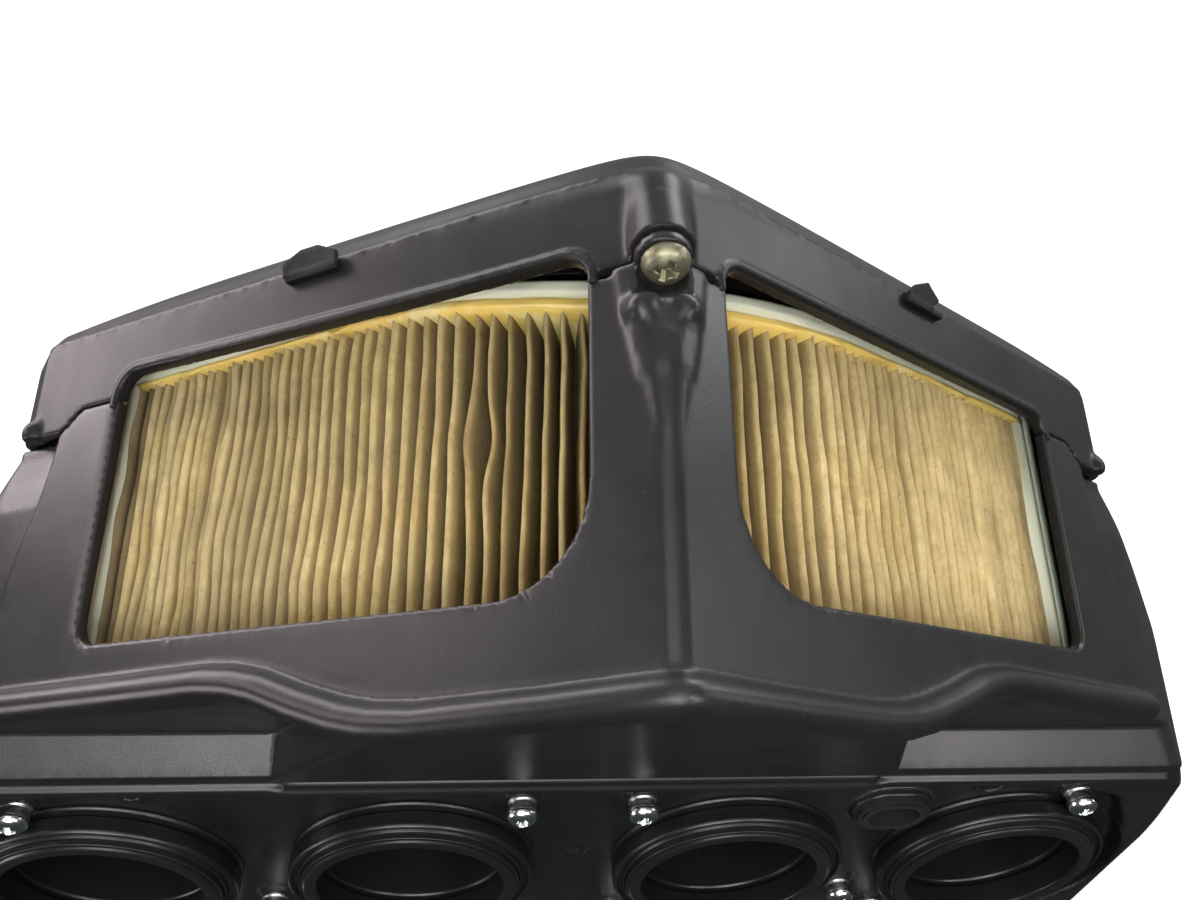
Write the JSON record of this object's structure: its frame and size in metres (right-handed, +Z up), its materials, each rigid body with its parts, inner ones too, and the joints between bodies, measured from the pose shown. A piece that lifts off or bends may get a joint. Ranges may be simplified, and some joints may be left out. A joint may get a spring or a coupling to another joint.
{
  "type": "motorcycle airbox with air filter",
  "caption": "Motorcycle airbox with a V front wall, windows onto a pleated filter element, a lift-off cover and a row of throttle body outlets.",
  "frame": {"origin": "midpoint of the row of outlet bores, in the plane of their lower ring faces", "axes": "+Z up, -Y forwards towards the ridge of the V front wall, +X to the right when the front is looked at"},
  "size_m": [0.324, 0.2589, 0.1526],
  "materials": {
    "case": "satin moulded plastic",
    "rubber": "matte",
    "tab": "matte",
    "zinc": "dull oxidised zinc",
    "bright": "bright plated",
    "steel": "plain",
    "brass": "plain",
    "frame_pu": "cast foam plastic",
    "potting": "amber glue",
    "paper": "creased filter paper",
    "strip_l": "matte",
    "strip_r": "matte",
    "foam": "foam",
    "funnel": "satin"
  },
  "bodies": {
    "lower_body": {"lower_case": "case", "cover_seal": "rubber", "cover_inserts": "brass", "funnel_base_left": "funnel", "funnel_base_right": "funnel", "funnel_1": "funnel", "funnel_2": "funnel", "funnel_3": "funnel", "funnel_4": "funnel", "outlet_ring_1": "rubber", "outlet_ring_2": "rubber", "outlet_ring_3": "rubber", "outlet_ring_4": "rubber", "screw_collars": "steel", "port_sleeve": "funnel", "rear_grommet": "rubber", "rear_sleeve": "steel"},
    "cover_body": {"upper_case": "case", "duct_tab_left": "tab", "duct_tab_right": "tab", "front_insert": "brass"},
    "cover_screws_body": {"cover_screws": "zinc"},
    "filter_body": {"filter_frame": "frame_pu", "filter_potting": "potting", "filter_media": "paper", "filter_mesh": "steel", "end_strip_left": "strip_l", "end_strip_right": "strip_r", "filter_gasket": "foam"},
    "front_screw_body": {"front_screw": "zinc"},
    "outlet_screws_body": {"outlet_screws": "bright"}
  },
  "joints": [
    {"name": "cover_lift", "type": "slide", "parent": "lower_body", "child": "cover_body", "axis": [0, 0.309, 0.9511], "range_m": [0, 0.15]},
    {"name": "filter_lift", "type": "slide", "parent": "lower_body", "child": "filter_body", "axis": [0, 0, 1], "range_m": [0, 0.06]},
    {"name": "front_screw_out", "type": "slide", "parent": "lower_body", "child": "front_screw_body", "axis": [0, -0.309, -0.9511], "range_m": [0, 0.02]},
    {"name": "cover_screws_out", "type": "slide", "parent": "cover_body", "child": "cover_screws_body", "axis": [0, 0.309, 0.9511], "range_m": [0, 0.03]},
    {"name": "outlet_screws_out", "type": "slide", "parent": "lower_body", "child": "outlet_screws_body", "axis": [0, -0.4695, -0.8829], "range_m": [0, 0.022]}
  ],
  "couplings": [
    {"joint": "filter_lift", "follows": "cover_lift", "ratio": 0.4}
  ]
}
